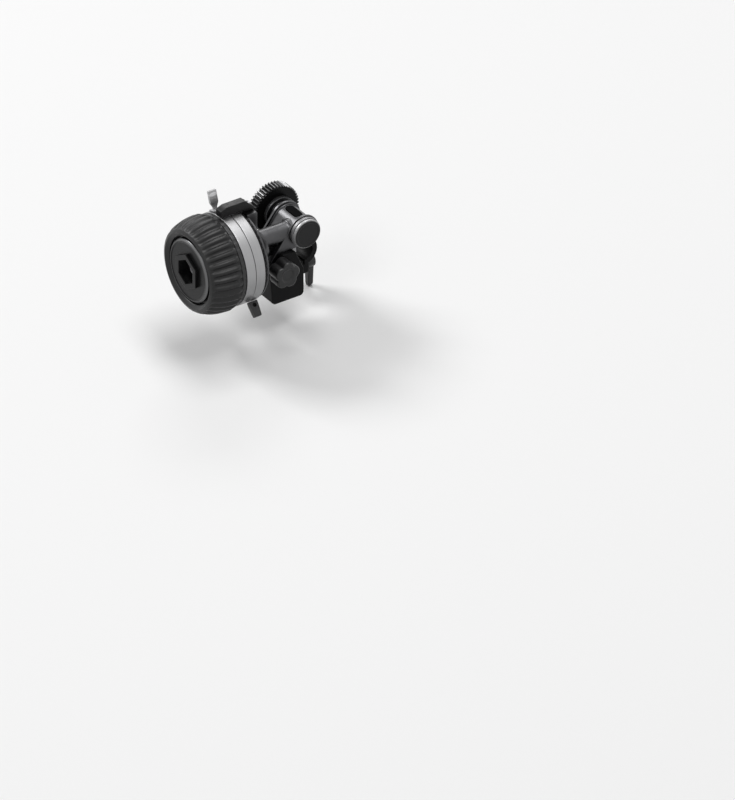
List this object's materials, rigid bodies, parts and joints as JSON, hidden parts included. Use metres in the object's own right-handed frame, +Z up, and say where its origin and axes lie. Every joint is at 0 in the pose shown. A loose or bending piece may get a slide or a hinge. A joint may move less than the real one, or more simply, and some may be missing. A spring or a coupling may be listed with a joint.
{
  "type": "lens follow focus",
  "caption": "Follow focus for a 15 mm rod: a ribbed handwheel with two settable hard stops drives a lens gear through a gear train; it slides and clamps.",
  "frame": {"origin": "centre of the rod bore, at the middle of the clamp's length", "axes": "+Y along the rod towards the lens gear's outer face, +X from the handwheel to the rod, along the handwheel's axis, +Z up"},
  "size_m": [0.1266, 0.0746, 0.1171],
  "materials": {
    "rod_clamp_body": "satin black anodised",
    "dovetail_rail": "machined",
    "rail_screw_1": "machined",
    "rail_screw_2": "machined",
    "clamp_screw": "machined",
    "clamp_lever": "black powder coat",
    "gearbox_housing": "satin dark anodised casting",
    "bearing_plate": "satin dark anodised",
    "plate_screw_1": "machined",
    "plate_screw_2": "machined",
    "plate_screw_3": "machined",
    "rear_tooth_ring": "black anodised",
    "index_pointer": "black anodised",
    "pointer_screw": "machined",
    "end_collar": "satin dark anodised",
    "end_cap": "black anodised, turned face",
    "top_inlay": "bare black",
    "slide_block": "satin black anodised",
    "block_screw_1": "machined",
    "block_screw_2": "machined",
    "lock_pad": "plain",
    "input_bush": "machined",
    "layshaft_bush_front": "machined",
    "layshaft_bush_rear": "machined",
    "output_bush_front": "machined",
    "output_bush_rear": "machined",
    "wheel_core": "black anodised",
    "grip_rubber": "matte moulded rubber",
    "front_tooth_ring": "black anodised",
    "hub_disc": "black anodised, bright turned rim",
    "socket_magnet": "machined",
    "hub_bolt": "machined",
    "friction_washer": "plain",
    "wheel_shaft": "machined",
    "ring_gear": "machined",
    "stop_ring_a": "satin anodised",
    "stop_a_foot": "satin anodised",
    "stop_a_lever": "satin anodised",
    "stop_ring_b": "satin anodised",
    "stop_b_tab": "black anodised",
    "stop_b_screw": "machined",
    "layshaft": "machined",
    "layshaft_pinion": "machined",
    "driving_bevel": "machined",
    "output_shaft": "machined",
    "driven_bevel": "machined",
    "gear_collar": "black anodised",
    "drive_gear": "black anodised, bright tooth tips",
    "gear_washer": "machined",
    "gear_nut": "machined",
    "shaft_circlip": "machined",
    "lock_knob": "moulded black",
    "lock_screw": "machined"
  },
  "bodies": {
    "rod_mount": {"rod_clamp_body": "rod_clamp_body", "dovetail_rail": "dovetail_rail", "rail_screw_1": "rail_screw_1", "rail_screw_2": "rail_screw_2"},
    "clamp": {"clamp_screw": "clamp_screw", "clamp_lever": "clamp_lever"},
    "carriage": {"gearbox_housing": "gearbox_housing", "bearing_plate": "bearing_plate", "plate_screw_1": "plate_screw_1", "plate_screw_2": "plate_screw_2", "plate_screw_3": "plate_screw_3", "rear_tooth_ring": "rear_tooth_ring", "index_pointer": "index_pointer", "pointer_screw": "pointer_screw", "end_collar": "end_collar", "end_cap": "end_cap", "top_inlay": "top_inlay", "slide_block": "slide_block", "block_screw_1": "block_screw_1", "block_screw_2": "block_screw_2", "lock_pad": "lock_pad", "input_bush": "input_bush", "layshaft_bush_front": "layshaft_bush_front", "layshaft_bush_rear": "layshaft_bush_rear", "output_bush_front": "output_bush_front", "output_bush_rear": "output_bush_rear"},
    "handwheel": {"wheel_core": "wheel_core", "grip_rubber": "grip_rubber", "front_tooth_ring": "front_tooth_ring", "hub_disc": "hub_disc", "socket_magnet": "socket_magnet", "hub_bolt": "hub_bolt", "friction_washer": "friction_washer", "wheel_shaft": "wheel_shaft", "ring_gear": "ring_gear"},
    "stop_a": {"stop_ring_a": "stop_ring_a", "stop_a_foot": "stop_a_foot"},
    "stop_a_paddle": {"stop_a_lever": "stop_a_lever"},
    "stop_b": {"stop_ring_b": "stop_ring_b", "stop_b_tab": "stop_b_tab", "stop_b_screw": "stop_b_screw"},
    "layshaft": {"layshaft": "layshaft", "layshaft_pinion": "layshaft_pinion", "driving_bevel": "driving_bevel"},
    "output": {"output_shaft": "output_shaft", "driven_bevel": "driven_bevel", "gear_collar": "gear_collar", "drive_gear": "drive_gear", "gear_washer": "gear_washer", "gear_nut": "gear_nut", "shaft_circlip": "shaft_circlip"},
    "lock": {"lock_knob": "lock_knob", "lock_screw": "lock_screw"}
  },
  "joints": [
    {"name": "carriage_slide", "type": "slide", "parent": "rod_mount", "child": "carriage", "axis": [1, 0, 0], "range_m": [-0.007, 0.002]},
    {"name": "clamp_lever_turn", "type": "hinge", "parent": "rod_mount", "child": "clamp", "pos_m": [0, 0, -0.0156], "axis": [1, 0, 0], "range_deg": [0, 90]},
    {"name": "lock_knob_turn", "type": "hinge", "parent": "carriage", "child": "lock", "pos_m": [-0.0403, -0.028, 0.0146], "axis": [0, 1, 0], "range_deg": [-360, 0]},
    {"name": "handwheel_turn", "type": "hinge", "parent": "carriage", "child": "handwheel", "pos_m": [-0.0833, -0.028, 0.032], "axis": [1, 0, 0], "range_deg": [-130, 8]},
    {"name": "stop_a_turn", "type": "hinge", "parent": "handwheel", "child": "stop_a", "pos_m": [-0.0833, -0.028, 0.032], "axis": [1, 0, 0], "range_deg": [-115, 0]},
    {"name": "stop_b_turn", "type": "hinge", "parent": "handwheel", "child": "stop_b", "pos_m": [-0.0833, -0.028, 0.032], "axis": [1, 0, 0], "range_deg": [0, 115]},
    {"name": "stop_a_lever_turn", "type": "hinge", "parent": "stop_a", "child": "stop_a_paddle", "pos_m": [-0.07955, -0.01661, 0.06509], "axis": [0, 0.3256, 0.9455], "range_deg": [0, 90]},
    {"name": "layshaft_turn", "type": "hinge", "parent": "carriage", "child": "layshaft", "pos_m": [-0.0833, -0.028, 0.0365], "axis": [1, 0, 0], "range_deg": [-262, 18]},
    {"name": "output_turn", "type": "hinge", "parent": "carriage", "child": "output", "pos_m": [-0.0172, -0.028, 0.0365], "axis": [0, 1, 0], "range_deg": [-262, 18]}
  ],
  "couplings": [
    {"joint": "layshaft_turn", "follows": "handwheel_turn", "ratio": 2},
    {"joint": "output_turn", "follows": "handwheel_turn", "ratio": 2}
  ]
}
